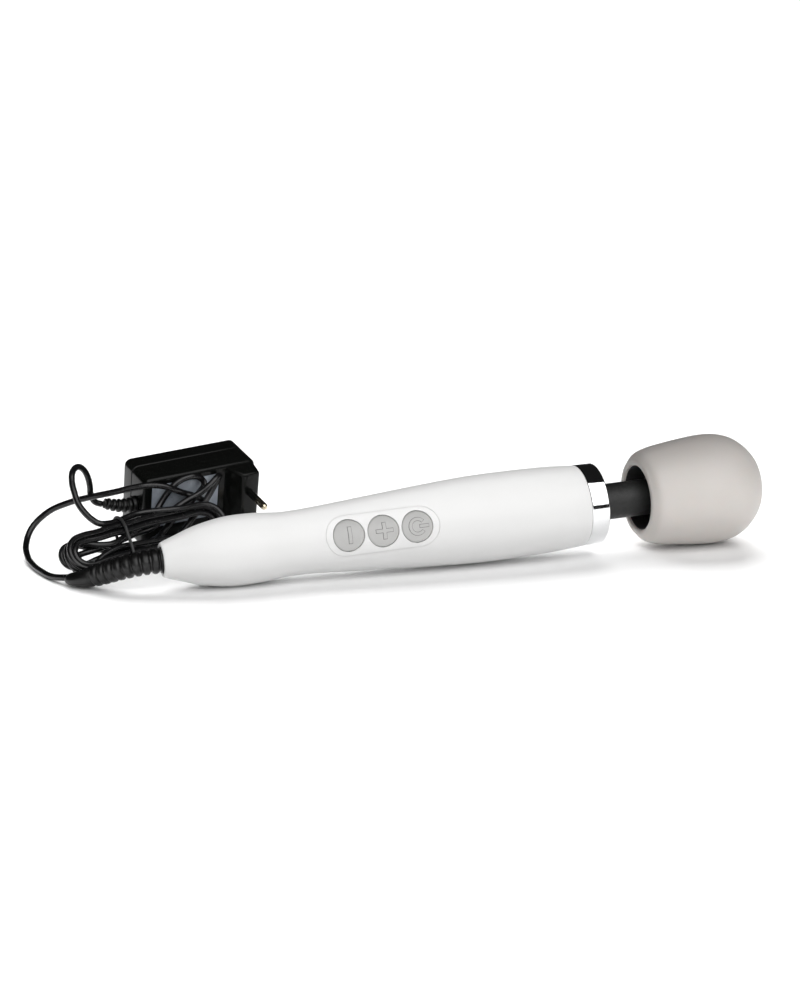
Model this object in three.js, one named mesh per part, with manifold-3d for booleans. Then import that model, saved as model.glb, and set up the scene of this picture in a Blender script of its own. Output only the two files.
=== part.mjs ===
// Handheld wand massager with its plug-in adapter. Millimetres, +Z up.
// The wand lies along X with its head towards +X and its buttons towards -Y. It rests on the
// swell at its tail and on its head. The origin is on the floor under the middle of the wand.

import * as THREE from 'three';
import { mergeVertices } from 'three/addons/utils/BufferGeometryUtils.js';
import Module from 'manifold-3d';

const wasm = await Module();
wasm.setup();

// ---------------------------------------------------------------- driving dimensions

const GAP = 0.3; // clearance between neighbouring pieces
const AROUND = 32; // facets round a large turned piece
const AROUND_SMALL = 16; // facets round a small turned piece

// The wand's own frame has X on its axis, from the tail face, and the buttons towards -Y.
const WAND = {
  tail: [-169.8, 0, 16.6], // centre of the tail face
  pitch: 2.6, // degrees that the axis climbs towards the head
  roll: 16.5, // degrees that the buttons face above the horizontal
};

const HANDLE = {
  length: 232.3,
  wall: 2.2,
  tailHole: 7.1, // radius of the hole that the cord's strain relief fills
  seatStart: 218, // the ring's spigot fits inside the shell from here on
  seatRadius: 20.3,
};

// Stations along the handle and the radius at each.
const HANDLE_OUTLINE = [
  [0, 8.3], [0.9, 9.3], [8, 11.8], [20, 15.7], [35, 18.3], [50, 18.4], [65, 17.2], [80, 17.5],
  [100, 18.9], [120, 20.4], [145, 22.2], [170, 23.6], [195, 23.8], [215, 23.4], [231, 22.4],
  [232.3, 21.9],
];
const HANDLE_SAMPLES = 16;

// The two screws that hold the shells together, driven in from the back.
const SCREW = {
  stations: { rear: 46, front: 157 },
  head: 2.9,
  shank: 1.3,
  seat: 8, // distance from the wand's axis to the head's seat
  boss: 4.2,
};

const RING = {
  start: 232.7,
  end: 243,
  radius: 22.3,
  bore: 18.4,
  spigotRadius: 19.9,
  spigotStart: 224,
};

const BUTTON = {
  stations: { minus: 96.4, plus: 114.9, power: 133.3 },
  radius: 8.3,
  crown: 0.35, // how far a cap stands above the handle's surface
  flangeRadius: 9,
  stemRadius: 2.2,
  stemEnd: 13.9, // distance from the wand's axis to the stem's foot
};

const PANEL = { start: 84.2, end: 145.5, halfWidth: 10.7, thickness: 0.9 };

const BOARD = { start: 62, end: 150, width: 20, near: 7, thickness: 1.6 };

const TACT = { size: 6, height: 3.5, plungerRadius: 1.7, plunger: 0.5 };

const MOTOR = {
  start: 166,
  end: 204,
  radius: 14,
  wall: 1.2,
  shaftRadius: 1.6,
  shaftEnd: 229,
  mounts: { rear: [169, 173], front: [197, 201] },
  mountRadius: 20.6,
};

const NECK = { start: 236, end: 285.6, radius: 10, bore: 7.2, flange: 2.6, flangeRadius: 13.4 };

// The coil that carries the motor's turning through the bending neck.
const DRIVE = { start: 233.2, end: 284.6, coil: 4.3, wire: 0.9, turns: 6 };

const HEAD = {
  start: 268.3, // the rim round the neck
  length: 72,
  skin: 3,
  coreWall: 2.5,
  cupRadius: 17.5, // mouth of the recess round the neck
  cupDepth: 13.5,
};

// Fractions of the head's length and the radius at each.
const HEAD_OUTLINE = [
  [0.015, 22], [0.06, 25.2], [0.15, 27.2], [0.3, 28.8], [0.45, 30], [0.58, 30.6], [0.7, 30],
  [0.8, 27.7], [0.88, 23.8], [0.945, 18.8], [0.985, 13], [1, 8.4],
];

const HEAD_SAMPLES = 13;
const HEAD_END = HEAD.start + HEAD.length;
const CUP_FLOOR = HEAD.start + HEAD.cupDepth;

const BEARING = { rear: 289, front: 324, width: 5, radius: 8, bore: 2.4, shaft: 2 };

const WEIGHT = { start: 300, end: 318, radius: 15, hub: 5 };

// The adapter lies tipped forward against the cord. Its own frame has X along its length, Y into
// its depth and Z up its front face, from the front face's lower left corner.
const ADAPTER = {
  corner: [-163.5, 81.7, 0],
  turn: 13.4,
  lean: 16.1,
  rise: 3.3,
  length: 68.5,
  depth: 27.5,
  height: 44.3,
  seam: 16.5,
  wall: 2,
  edge: 2.2, // bevel round the front and back faces
  corners: 4,
};

const BOSS = {
  face: [55.5, 66.2], // the pin face's ends along the adapter
  foot: [49, 67], // where the boss meets the front face
  faceZ: [5, 42],
  footZ: [3, 43],
  height: 10,
};

const PIN = {
  x: 60.2,
  z: { lower: 11, upper: 30 },
  length: 19,
  radius: 2,
  core: 1.1, // the metal's radius inside the sleeve
  sleeve: 10, // how much of the pin the sleeve covers
  sleeveRadius: 1.95,
};

const LABEL = { low: [4.5, 13], high: [46, 40], depth: 0.6, thickness: 0.3 };

const ADAPTER_RELIEF = {
  y: 11,
  z: 24,
  hole: 3.6,
  root: 4.4,
  tip: 3,
  ribs: 5,
  route: [[-0.3, 11, 24], [-5, 11.2, 24.1], [-11, 12.2, 24.8], [-16.8, 13.9, 26.3]],
};

const CORD = { radius: 1.75, sides: 8, step: 8.5 };

// Centre line of the stretch from the wand: over the floor and up on to the adapter's front.
const WAND_CORD_ROUTE = [
  [-212.4, 24.5, 4.6], [-216.3, 29.4, 3.5], [-220, 38, 2.1], [-223, 50, 1.85], [-225, 64, 1.9],
  [-226, 78, 3.4], [-225, 88, 7.6], [-221, 94, 14.5], [-213.5, 94.5, 22.5], [-203, 87.5, 29.5],
  [-191, 80, 34], [-179, 74.5, 37], [-169, 71, 39.3], [-160, 68.3, 40.4], [-151.5, 68.8, 39.6],
];

// Centre line of the stretch from the adapter: up, over and down on to the hank.
const ADAPTER_CORD_ROUTE = [
  [-184, 86.3, 27.1], [-187.7, 86, 28.7], [-190, 85.8, 32.5], [-190.4, 85.5, 37.5],
  [-191.5, 84.5, 43], [-194, 82, 48], [-198, 78, 51], [-201.7, 73, 49.6], [-203, 68.5, 45],
  [-202.6, 64, 40], [-201.6, 60, 35.2], [-199, 56.3, 30.9], [-195.6, 53.2, 27.4],
];

const HANK = {
  centre: [-168, 53.2, 14.3],
  length: 104,
  width: 29,
  thickness: 7.2,
  edge: 1.6,
  heading: 19.4, // degrees from X
  lean: 50, // degrees that its flat stands up from the floor
};

// The turns that lean on the adapter's front face, in the adapter's frame.
const LOOPS = { from: [14, 30], to: [38, 37.4], halfWidth: 6, thickness: 5, clear: 0.6 };

const TIE = { at: -12, wire: 0.9, clear: 0.3 };

// Centre line of the wand's strain relief, in the object's frame.
const WAND_RELIEF_ROUTE = [
  [-169.4, 0, 16.6], [-180, 0.8, 15.4], [-190, 4.5, 12], [-198.5, 11, 7.6], [-206, 18, 5.2],
  [-212, 24, 4.7],
];
const WAND_RELIEF = { root: 6.6, tip: 4.6, ribs: 7, ribbedPart: 0.7, groove: 1.3 };

// ---------------------------------------------------------------- materials

function plastic(color, roughness) {
  return new THREE.MeshStandardMaterial({ color, roughness, metalness: 0 });
}

function metal(color, roughness) {
  return new THREE.MeshStandardMaterial({ color, roughness, metalness: 1 });
}

const MATERIALS = {
  whiteShell: plastic(0xeeecea, 0.35),
  buttonGrey: plastic(0xcbcaca, 0.45),
  headSkin: plastic(0xc4bcb6, 0.6),
  blackRubber: plastic(0x151515, 0.8),
  blackGloss: plastic(0x161715, 0.25),
  blackCord: plastic(0x141616, 0.35),
  innerPlastic: plastic(0x3a3a3c, 0.6),
  label: plastic(0xb9c0c6, 0.5),
  board: plastic(0x1f5a36, 0.5),
  copper: metal(0xb06a3c, 0.4),
  chrome: metal(0xe6e6e6, 0.05),
  steel: metal(0xa8a8aa, 0.3),
  pinMetal: metal(0xd8c9a0, 0.25),
};

// ---------------------------------------------------------------- solids

function toSolid(geometry) {
  const bare = geometry.clone();
  bare.deleteAttribute('normal');
  bare.deleteAttribute('uv');
  const welded = mergeVertices(bare, 1e-4);
  const position = welded.attributes.position;
  const index = welded.index.array;
  const corner = [new THREE.Vector3(), new THREE.Vector3(), new THREE.Vector3()];
  const triangles = [];
  let volume = 0;
  for (let i = 0; i < index.length; i += 3) {
    const [a, b, c] = [index[i], index[i + 1], index[i + 2]];
    if (a === b || b === c || c === a) continue;
    triangles.push([a, b, c]);
    [a, b, c].forEach((vertex, k) => corner[k].fromBufferAttribute(position, vertex));
    volume += corner[0].dot(corner[1].cross(corner[2]));
  }
  if (volume < 0) triangles.forEach((triangle) => triangle.reverse());
  const mesh = new wasm.Mesh({
    numProp: 3,
    vertProperties: new Float32Array(position.array),
    triVerts: new Uint32Array(triangles.flat()),
  });
  return new wasm.Manifold(mesh);
}

function toGeometry(solid) {
  const mesh = solid.getMesh();
  const geometry = new THREE.BufferGeometry();
  geometry.setAttribute('position', new THREE.BufferAttribute(mesh.vertProperties, mesh.numProp));
  geometry.setIndex(new THREE.BufferAttribute(mesh.triVerts, 1));
  return geometry;
}

function part(name, solid, material) {
  const mesh = new THREE.Mesh(toGeometry(solid), material);
  mesh.name = name;
  return mesh;
}

// A turned solid about X from [station, radius] points that start and end on the axis.
function turned(outline, around = AROUND) {
  const points = outline.map(([station, radius]) => new THREE.Vector2(radius, station));
  const geometry = new THREE.LatheGeometry(points, around);
  geometry.rotateZ(-Math.PI / 2);
  return toSolid(geometry);
}

// A plain rod about X.
function rod(from, to, radius, around = AROUND_SMALL) {
  return turned([[from, 0], [from, radius], [to, radius], [to, 0]], around);
}

// A turned ring about X, from a closed loop of [station, radius] points off the axis.
function turnedRing(outline, around = AROUND) {
  return turned([...outline, outline[0]], around);
}

function tube(from, to, radius, bore, around = AROUND_SMALL) {
  return turnedRing([[from, bore], [from, radius], [to, radius], [to, bore]], around);
}

function box(low, high) {
  const size = low.map((value, axis) => high[axis] - value);
  const middle = low.map((value, axis) => (value + high[axis]) / 2);
  return toSolid(new THREE.BoxGeometry(...size).translate(...middle));
}

// A rod along Y, centred on (x, z), from one y to another.
function crossRod(x, z, fromY, toY, radius, around = 24) {
  const geometry = new THREE.CylinderGeometry(radius, radius, Math.abs(toY - fromY), around);
  return toSolid(geometry.translate(x, (fromY + toY) / 2, z));
}

// A flat outline in X and Z, extruded along Y from one y to another.
function plate(shape, fromY, toY, curveSegments = 10) {
  const depth = Math.abs(toY - fromY);
  const geometry = new THREE.ExtrudeGeometry(shape, { depth, bevelEnabled: false, curveSegments });
  geometry.rotateX(Math.PI / 2);
  return toSolid(geometry.translate(0, Math.max(fromY, toY), 0));
}

function stadium(fromX, fromZ, toX, toZ, halfWidth) {
  const angle = Math.atan2(toZ - fromZ, toX - fromX);
  const shape = new THREE.Shape();
  shape.absarc(toX, toZ, halfWidth, angle - Math.PI / 2, angle + Math.PI / 2, false);
  shape.absarc(fromX, fromZ, halfWidth, angle + Math.PI / 2, angle + 1.5 * Math.PI, false);
  shape.closePath();
  return shape;
}

function route(points) {
  return new THREE.CatmullRomCurve3(points.map((point) => new THREE.Vector3(...point)));
}

function cordTube(points) {
  const path = route(points);
  const section = new THREE.Shape();
  section.absarc(0, 0, CORD.radius, 0, 2 * Math.PI, false);
  const geometry = new THREE.ExtrudeGeometry(section, {
    steps: Math.round(path.getLength() / CORD.step),
    curveSegments: CORD.sides,
    bevelEnabled: false,
    extrudePath: path,
  });
  return toSolid(geometry);
}

// Bends a turned piece, whose stations run from 0 to the path's length, along the path.
function bentAlong(outline, path, around) {
  const points = outline.map(([station, radius]) => new THREE.Vector2(radius, station));
  const geometry = new THREE.LatheGeometry(points, around);
  const position = geometry.attributes.position;
  const length = path.getLength();
  const side = new THREE.Vector3();
  const up = new THREE.Vector3();
  for (let i = 0; i < position.count; i++) {
    const along = THREE.MathUtils.clamp(position.getY(i) / length, 0, 1);
    const tangent = path.getTangentAt(along);
    side.set(0, 0, 1).cross(tangent).normalize();
    up.copy(tangent).cross(side);
    const place = path.getPointAt(along);
    place.addScaledVector(side, position.getX(i));
    place.addScaledVector(up, position.getZ(i));
    position.setXYZ(i, place.x, place.y, place.z);
  }
  return toSolid(geometry);
}

// A tapering ribbed sleeve's outline, from its root to its smooth tip.
function ribbedOutline(length, rootRadius, tipRadius, ribs, ribbedPart, groove) {
  const outline = [[0, 0], [0, rootRadius]];
  const pitch = (length * ribbedPart) / ribs;
  const radiusAt = (station) => rootRadius + ((tipRadius - rootRadius) * station) / length;
  for (let rib = 0; rib < ribs; rib++) {
    const start = rib * pitch;
    const end = start + pitch;
    outline.push([start + 0.62 * pitch, radiusAt(start + 0.62 * pitch)]);
    outline.push([start + 0.7 * pitch, radiusAt(end) - groove]);
    outline.push([start + 0.94 * pitch, radiusAt(end) - groove]);
    outline.push([end, radiusAt(end)]);
  }
  outline.push([length - 1.2, tipRadius], [length, tipRadius - 0.9], [length, 0]);
  return outline;
}

// ---------------------------------------------------------------- handle

const handleCurve = new THREE.SplineCurve(
  HANDLE_OUTLINE.map(([station, radius]) => new THREE.Vector2(station, radius)),
);

// The handle's outer form made smaller all round by inset.
function handleForm(inset) {
  const skin = handleCurve.getPoints(HANDLE_SAMPLES).map((point) => [point.x, point.y - inset]);
  return turned([[0, 0], ...skin, [HANDLE.length, 0]]);
}

function handleHollow() {
  const skin = handleCurve.getPoints(HANDLE_SAMPLES)
    .filter((point) => point.x > HANDLE.wall && point.x < HANDLE.seatStart)
    .map((point) => [point.x, point.y - HANDLE.wall]);
  const first = skin[0];
  const last = skin[skin.length - 1];
  return turned([
    [-1, 0], [-1, HANDLE.tailHole], [first[0] - 0.4, HANDLE.tailHole], ...skin,
    [Math.max(last[0] + 1, HANDLE.seatStart), HANDLE.seatRadius],
    [HANDLE.length + 1, HANDLE.seatRadius], [HANDLE.length + 1, 0],
  ]);
}

function buttonHoles(radius) {
  return Object.values(BUTTON.stations)
    .map((station) => crossRod(station, 0, -40, -6, radius))
    .reduce((all, hole) => all.add(hole));
}

function panelPrism(grow) {
  const halfWidth = PANEL.halfWidth + grow;
  const shape = stadium(PANEL.start + PANEL.halfWidth, 0, PANEL.end - PANEL.halfWidth, 0, halfWidth);
  return plate(shape, -40, -4);
}

function handleShells() {
  const half = GAP / 2;
  const bodies = handleForm(0).subtract(handleHollow());
  let front = bodies.intersect(box([-5, -40, -40], [250, -half, 40]));
  let back = bodies.intersect(box([-5, half, -40], [250, 40, 40]));

  const recess = panelPrism(GAP).subtract(handleForm(PANEL.thickness + GAP));
  front = front.subtract(recess).subtract(buttonHoles(BUTTON.radius + GAP));

  for (const station of Object.values(SCREW.stations)) {
    const post = crossRod(station, 0, half, 30, SCREW.boss, AROUND_SMALL).intersect(handleForm(1));
    const well = crossRod(station, 0, SCREW.seat, 40, SCREW.head + GAP, AROUND_SMALL);
    const bore = crossRod(station, 0, -1, 40, SCREW.shank + GAP, AROUND_SMALL);
    back = back.add(post).subtract(well).subtract(bore);

    const nut = crossRod(station, 0, -30, -half, SCREW.boss, AROUND_SMALL).intersect(handleForm(1));
    const pilot = crossRod(station, 0, -7, 1, SCREW.shank + GAP, AROUND_SMALL);
    front = front.add(nut).subtract(pilot);
  }
  return [
    part('handle_front_shell', front, MATERIALS.whiteShell),
    part('handle_back_shell', back, MATERIALS.whiteShell),
  ];
}

function shellScrews() {
  return Object.entries(SCREW.stations).map(([place, station]) => {
    const head = crossRod(station, 0, SCREW.seat + GAP, SCREW.seat + 2.2, SCREW.head, AROUND_SMALL);
    const slot = box([station - 3, SCREW.seat + 1.4, -0.4], [station + 3, SCREW.seat + 3, 0.4]);
    const shank = crossRod(station, 0, -6, SCREW.seat + 1, SCREW.shank, 12);
    return part(`shell_screw_${place}`, head.add(shank).subtract(slot), MATERIALS.steel);
  });
}

function buttonPanel() {
  const skin = handleForm(0).subtract(handleForm(PANEL.thickness));
  const panel = panelPrism(0).intersect(skin).subtract(buttonHoles(BUTTON.radius + GAP));
  return part('button_panel', panel, MATERIALS.whiteShell);
}

function button(name, station) {
  const flangeTop = HANDLE.wall + GAP;
  const capBack = flangeTop + 1;
  const cap = crossRod(station, 0, -40, -6, BUTTON.radius)
    .intersect(handleForm(-BUTTON.crown).subtract(handleForm(capBack)));
  const flange = crossRod(station, 0, -40, -6, BUTTON.flangeRadius)
    .intersect(handleForm(flangeTop).subtract(handleForm(capBack)));
  const stem = crossRod(station, 0, -BUTTON.stemEnd, -30, BUTTON.stemRadius, AROUND_SMALL)
    .intersect(handleForm(flangeTop));
  return part(name, cap.add(flange).add(stem), MATERIALS.buttonGrey);
}

function buttons() {
  return Object.entries(BUTTON.stations).map(([name, station]) => button(`button_${name}`, station));
}

function controlBoard() {
  const low = [BOARD.start, -BOARD.near - BOARD.thickness, -BOARD.width / 2];
  const high = [BOARD.end, -BOARD.near, BOARD.width / 2];
  return part('control_board', box(low, high), MATERIALS.board);
}

function tactSwitch(name, station) {
  const foot = BOARD.near + BOARD.thickness + GAP;
  const top = foot + TACT.height;
  const half = TACT.size / 2;
  const body = box([station - half, -top, -half], [station + half, -foot, half]);
  const plunger = crossRod(station, 0, -top - TACT.plunger, -top + 1, TACT.plungerRadius, 12);
  return part(name, body.add(plunger), MATERIALS.innerPlastic);
}

function tactSwitches() {
  return Object.entries(BUTTON.stations)
    .map(([name, station]) => tactSwitch(`${name}_switch`, station));
}

function chromeRing() {
  const { start, end, radius, bore, spigotRadius, spigotStart } = RING;
  const bevel = 0.7;
  const ring = turnedRing([
    [spigotStart, bore], [spigotStart, spigotRadius], [start, spigotRadius], [start, radius - bevel],
    [start + bevel, radius], [end - bevel, radius], [end, radius - bevel], [end, bore],
  ], 36);
  return part('chrome_ring', ring, MATERIALS.chrome);
}

// The plate inside the ring that holds the neck's rear flange.
function neckCollar() {
  const front = RING.end - 0.8;
  const back = NECK.start + NECK.flange + GAP;
  const collar = tube(back, front, RING.bore - GAP, NECK.radius + GAP, AROUND);
  return part('neck_collar', collar, MATERIALS.blackRubber);
}

function neckClampPlate() {
  const back = NECK.start - GAP;
  const clampPlate = tube(back - 2.5, back, RING.bore - GAP, NECK.bore, AROUND);
  return part('neck_clamp_plate', clampPlate, MATERIALS.innerPlastic);
}

// ---------------------------------------------------------------- motor and drive

function motorCan() {
  const { start, end, radius, wall, shaftRadius } = MOTOR;
  const can = turnedRing([
    [start, radius - wall], [start, radius], [end, radius], [end, 6], [end + 3, 6],
    [end + 3, shaftRadius + GAP], [end - wall, shaftRadius + GAP], [end - wall, radius - wall],
  ], 32);
  return part('motor_can', can, MATERIALS.steel);
}

function motorEndCap() {
  const face = MOTOR.start - GAP;
  const cap = turned([[face - 3, 0], [face - 3, 11], [face - 1, MOTOR.radius], [face, MOTOR.radius],
    [face, 0]], 32);
  return part('motor_end_cap', cap, MATERIALS.innerPlastic);
}

function motorMounts() {
  const bore = MOTOR.radius + GAP;
  const rim = MOTOR.mountRadius;
  return Object.entries(MOTOR.mounts).map(([place, [from, to]]) => {
    const outline = [[from, bore], [from, rim], [to, rim], [to, bore]];
    return part(`motor_mount_${place}`, turnedRing(outline, 32), MATERIALS.blackRubber);
  });
}

function rotorParts() {
  const { start, end, shaftRadius, shaftEnd } = MOTOR;
  const shaft = rod(start + 2, shaftEnd, shaftRadius, 16);
  const armature = tube(start + 6, end - 6, 9, shaftRadius + GAP, 24);
  const coupling = turnedRing([
    [end + 8, shaftRadius + GAP], [end + 8, 5.5], [shaftEnd - 3, 5.5], [shaftEnd - 3, 3.4],
    [shaftEnd + 3, 3.4], [shaftEnd + 3, 1.2], [shaftEnd + GAP, 1.2],
    [shaftEnd + GAP, shaftRadius + GAP],
  ], 20);
  return [
    part('motor_shaft', shaft, MATERIALS.steel),
    part('motor_armature', armature, MATERIALS.copper),
    part('rear_coupling', coupling, MATERIALS.steel),
  ];
}

function neckSleeve() {
  const { start, end, radius, bore, flange, flangeRadius } = NECK;
  const sleeve = turnedRing([
    [start, bore], [start, flangeRadius], [start + flange, flangeRadius], [start + flange, radius],
    [end - flange, radius], [end - flange, flangeRadius], [end, flangeRadius], [end, bore],
  ], 32);
  return part('neck_sleeve', sleeve, MATERIALS.blackRubber);
}

class DriveHelix extends THREE.Curve {
  getPoint(t, target = new THREE.Vector3()) {
    const angle = 2 * Math.PI * DRIVE.turns * t;
    const station = DRIVE.start + (DRIVE.end - DRIVE.start) * t;
    return target.set(station, DRIVE.coil * Math.cos(angle), DRIVE.coil * Math.sin(angle));
  }
}

function driveSpring() {
  const wire = new THREE.Shape();
  wire.absarc(0, 0, DRIVE.wire, 0, 2 * Math.PI, false);
  const geometry = new THREE.ExtrudeGeometry(wire, {
    steps: DRIVE.turns * 9,
    curveSegments: 5,
    bevelEnabled: false,
    extrudePath: new DriveHelix(),
  });
  return part('drive_spring', toSolid(geometry), MATERIALS.steel);
}

// ---------------------------------------------------------------- head

const headCurve = new THREE.SplineCurve(
  HEAD_OUTLINE.map(([fraction, radius]) => (
    new THREE.Vector2(HEAD.start + fraction * HEAD.length, radius))),
);

function headSkin(inset) {
  const limit = HEAD_END - inset;
  return headCurve.getPoints(HEAD_SAMPLES)
    .map((point) => [point.x, point.y - inset])
    .filter(([station, radius]) => station < limit + 0.01 && radius > 5);
}

function headCover() {
  const { start, skin, cupRadius } = HEAD;
  const outer = turned([
    [start + 0.6, 0], [start + 0.6, 18.6], [start, 20.4], ...headSkin(0), [HEAD_END, 0],
  ]);
  const inner = headSkin(skin);
  const hollow = turned([
    [start - 1, 0], [start - 1, cupRadius], [start + 3, cupRadius],
    ...inner.filter(([station]) => station > start + 4),
    [HEAD_END - skin, inner[inner.length - 1][1] - 2], [HEAD_END - skin, 0],
  ]);
  return part('head_cover', outer.subtract(hollow), MATERIALS.headSkin);
}

function headCoreForm(inset) {
  const floor = CUP_FLOOR + inset;
  const nose = HEAD_END - HEAD.skin - GAP - inset;
  const skin = headSkin(HEAD.skin + GAP + inset)
    .filter(([station]) => station > floor && station < nose);
  const first = skin[0];
  const last = skin[skin.length - 1];
  return turned([
    [floor, 0], [floor, first[1] - 0.4], ...skin,
    [nose, last[1] - 2], [nose, 0],
  ]);
}

// The hard capsule under the soft cover, split level with the wand's side.
function headCore() {
  const half = GAP / 2;
  let capsule = headCoreForm(0).subtract(headCoreForm(HEAD.coreWall));
  for (const station of [BEARING.rear, BEARING.front]) {
    const web = tube(station - 1, station + BEARING.width + 1, 40, BEARING.radius + GAP, AROUND)
      .intersect(headCoreForm(1));
    capsule = capsule.add(web);
  }
  capsule = capsule.subtract(rod(HEAD.start, CUP_FLOOR + 2.6, NECK.radius + GAP, 32));
  const flangeRoom = rod(NECK.end - NECK.flange - GAP, NECK.end + GAP, NECK.flangeRadius + GAP, 32);
  capsule = capsule.subtract(flangeRoom);
  return [
    part('head_core_front', capsule.intersect(box([260, -40, -40], [350, -half, 40])),
      MATERIALS.innerPlastic),
    part('head_core_back', capsule.intersect(box([260, half, -40], [350, 40, 40])),
      MATERIALS.innerPlastic),
  ];
}

function bearing(name, station) {
  const ring = tube(station, station + BEARING.width, BEARING.radius, BEARING.bore, 24);
  return part(name, ring, MATERIALS.steel);
}

// The weight is heavy on one side only, which hangs straight down at rest.
function eccentricParts() {
  const shaft = rod(DRIVE.end + 1.8, BEARING.front + 6, BEARING.shaft, 16);
  const { start, end, radius, hub } = WEIGHT;
  const full = rod(start, end, radius, 32);
  const below = box([start - 1, -40, -40], [end + 1, 40, -1.5]);
  const sector = full.intersect(below).add(rod(start, end, hub, 24));
  const weight = sector.subtract(rod(start - 1, end + 1, BEARING.shaft + GAP, 16));
  const coupling = tube(DRIVE.end + GAP, DRIVE.end + 1.5, 3.4, 1.2, 20)
    .add(tube(DRIVE.end + 1.5, BEARING.rear - 0.6, 3.4, BEARING.shaft + GAP, 20));
  return [
    part('eccentric_shaft', shaft, MATERIALS.steel),
    part('eccentric_weight', weight, MATERIALS.steel),
    part('front_coupling', coupling, MATERIALS.steel),
  ];
}

// ---------------------------------------------------------------- adapter

function roundedRectangle(lowX, lowZ, highX, highZ, radius) {
  const shape = new THREE.Shape();
  shape.absarc(highX - radius, lowZ + radius, radius, -Math.PI / 2, 0, false);
  shape.absarc(highX - radius, highZ - radius, radius, 0, Math.PI / 2, false);
  shape.absarc(lowX + radius, highZ - radius, radius, Math.PI / 2, Math.PI, false);
  shape.absarc(lowX + radius, lowZ + radius, radius, Math.PI, 1.5 * Math.PI, false);
  shape.closePath();
  return shape;
}

function adapterForm() {
  const { length, height, depth, edge, corners } = ADAPTER;
  const shape = roundedRectangle(0, 0, length, height, corners);
  const geometry = new THREE.ExtrudeGeometry(shape, {
    depth: depth - 2 * edge,
    bevelEnabled: true,
    bevelThickness: edge,
    bevelSize: edge,
    bevelOffset: -edge,
    bevelSegments: 2,
    curveSegments: 5,
  });
  geometry.rotateX(Math.PI / 2);
  return toSolid(geometry.translate(0, depth - edge, 0));
}

// The plug boss: a box whose pin face is narrower than its foot.
function plugBoss() {
  const foot = 1; // sinks into the case wall
  const geometry = new THREE.BoxGeometry(1, 1, 1);
  const position = geometry.attributes.position;
  for (let i = 0; i < position.count; i++) {
    const isFace = position.getY(i) < 0;
    const [lowX, highX] = isFace ? BOSS.face : BOSS.foot;
    const [lowZ, highZ] = isFace ? BOSS.faceZ : BOSS.footZ;
    const x = position.getX(i) < 0 ? lowX : highX;
    const z = position.getZ(i) < 0 ? lowZ : highZ;
    position.setXYZ(i, x, isFace ? -BOSS.height : foot, z);
  }
  return toSolid(geometry);
}

function adapterCases() {
  const { length, height, depth, seam, wall } = ADAPTER;
  const half = GAP / 2;
  const room = box([wall, wall, wall], [length - wall, depth - wall, height - wall]);
  const shell = adapterForm().subtract(room);
  let front = shell.intersect(box([-5, -5, -5], [length + 5, seam - half, height + 5]));
  front = front.add(plugBoss());
  for (const z of Object.values(PIN.z)) {
    front = front.subtract(crossRod(PIN.x, z, -BOSS.height - 1, 4, PIN.sleeveRadius + GAP, 16));
  }
  const exit = rod(-2, wall + 1, ADAPTER_RELIEF.hole + GAP, 20)
    .translate([0, ADAPTER_RELIEF.y, ADAPTER_RELIEF.z]);
  const recess = box([LABEL.low[0], -1, LABEL.low[1]], [LABEL.high[0], LABEL.depth, LABEL.high[1]]);
  front = front.subtract(exit).subtract(recess);
  const back = shell.intersect(box([-5, seam + half, -5], [length + 5, depth + 5, height + 5]));
  return [
    part('adapter_front_case', front, MATERIALS.blackGloss),
    part('adapter_back_case', back, MATERIALS.blackGloss),
  ];
}

function ratingLabel() {
  const inset = GAP;
  const low = [LABEL.low[0] + inset, 0, LABEL.low[1] + inset];
  const high = [LABEL.high[0] - inset, LABEL.thickness, LABEL.high[1] - inset];
  return part('rating_label', box(low, high), MATERIALS.label);
}

// A pin and its sleeve, turned about X and then swung to point out of the front face.
function plugPin(place, z) {
  const face = BOSS.height;
  const tip = face + PIN.length;
  const sleeveEnd = face + PIN.sleeve;
  const metalPin = turned([
    [-3, 0], [-3, PIN.core], [sleeveEnd + GAP, PIN.core], [sleeveEnd + GAP, PIN.radius],
    [tip - 1.6, PIN.radius], [tip - 0.5, 1.4], [tip, 0.6], [tip, 0],
  ], 16);
  const sleeve = tube(face - 5, sleeveEnd, PIN.sleeveRadius, PIN.core + GAP, 16);
  return [
    part(`plug_pin_${place}`, metalPin, MATERIALS.pinMetal),
    part(`pin_sleeve_${place}`, sleeve, MATERIALS.blackGloss),
  ].map((mesh) => {
    mesh.rotation.z = -Math.PI / 2;
    mesh.position.set(PIN.x, 0, z);
    return mesh;
  });
}

function adapterRelief() {
  const { y, z, hole, root, tip, ribs } = ADAPTER_RELIEF;
  const path = route(ADAPTER_RELIEF.route);
  const sleeve = bentAlong(ribbedOutline(path.getLength(), root, tip, ribs, 0.9, 0.9), path, 12);
  const neck = rod(-1, 3, hole, 20).translate([0, y, z]);
  const flange = rod(ADAPTER.wall + GAP, ADAPTER.wall + 2, root + 0.6, 20).translate([0, y, z]);
  return part('adapter_strain_relief', sleeve.add(neck).add(flange), MATERIALS.blackRubber);
}

function adapterInside() {
  const { length, height, wall } = ADAPTER;
  const margin = wall + 1;
  const board = box([margin + 3, 17.4, margin], [length - margin, 19, height - margin]);
  const transformer = box([20, 5, 12], [38, 17, 30]);
  const capacitor = rod(42, 56, 4.5, 16).translate([0, 11.5, 35]);
  return [
    part('adapter_board', board, MATERIALS.board),
    part('adapter_transformer', transformer, MATERIALS.copper),
    part('adapter_capacitor', capacitor, MATERIALS.blackGloss),
  ];
}

// ---------------------------------------------------------------- cord

function wandRelief() {
  const path = route(WAND_RELIEF_ROUTE);
  const { root, tip, ribs, ribbedPart, groove } = WAND_RELIEF;
  const outline = ribbedOutline(path.getLength(), root, tip, ribs, ribbedPart, groove);
  const sleeve = bentAlong(outline, path, 16);
  return part('wand_strain_relief', sleeve, MATERIALS.blackRubber);
}

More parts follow.
